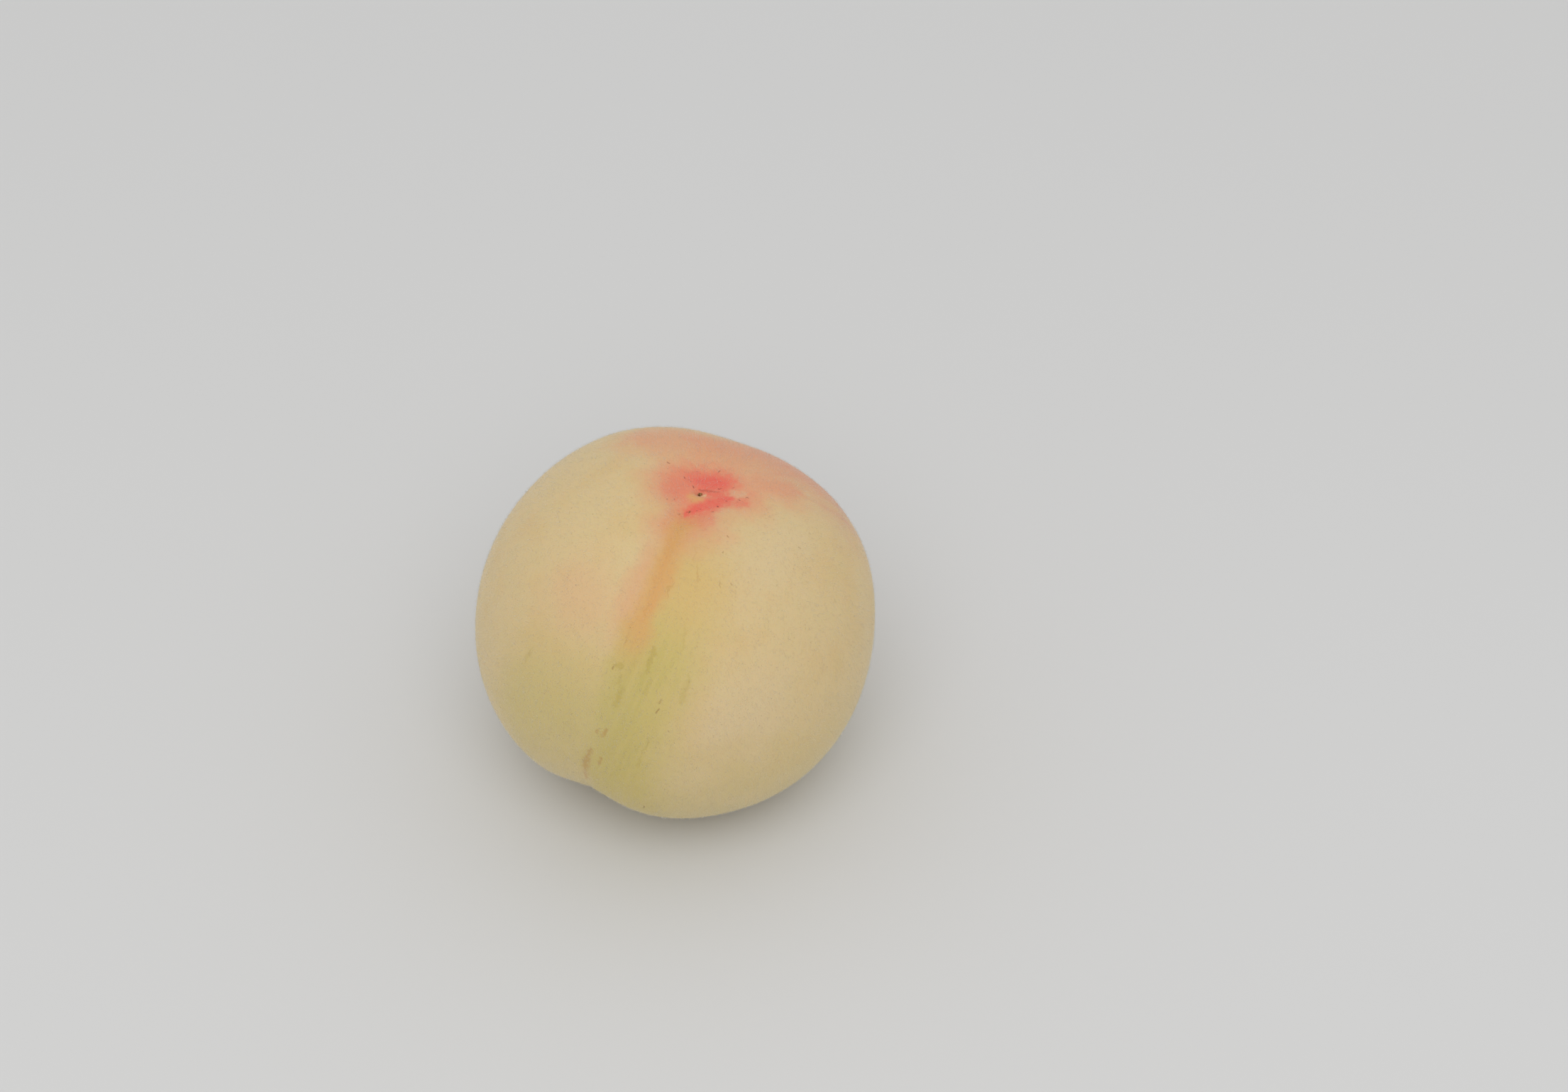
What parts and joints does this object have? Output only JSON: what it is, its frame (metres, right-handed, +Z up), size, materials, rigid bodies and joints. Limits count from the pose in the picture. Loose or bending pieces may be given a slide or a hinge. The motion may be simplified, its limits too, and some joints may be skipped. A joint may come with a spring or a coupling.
{
  "type": "peach",
  "caption": "Whole white peach, round and slightly flattened, with a shallow suture, a dimpled tip with a dry style remnant, and a deep stem cavity underneath.",
  "frame": {"origin": "middle of the bounding box, on the surface the fruit stands on", "axes": "+Z up, from the stem end towards the tip, which leans about ten degrees towards +X; the suture runs down the side that faces -Y and a little -X"},
  "size_m": [0.0846, 0.0838, 0.0768],
  "materials": {
    "peach_skin": "matt, fine short fuzz, cream with a pink blush at the tip and green and orange streaks beside the suture"
  },
  "bodies": {
    "root": {"peach": "peach_skin"}
  },
  "joints": []
}
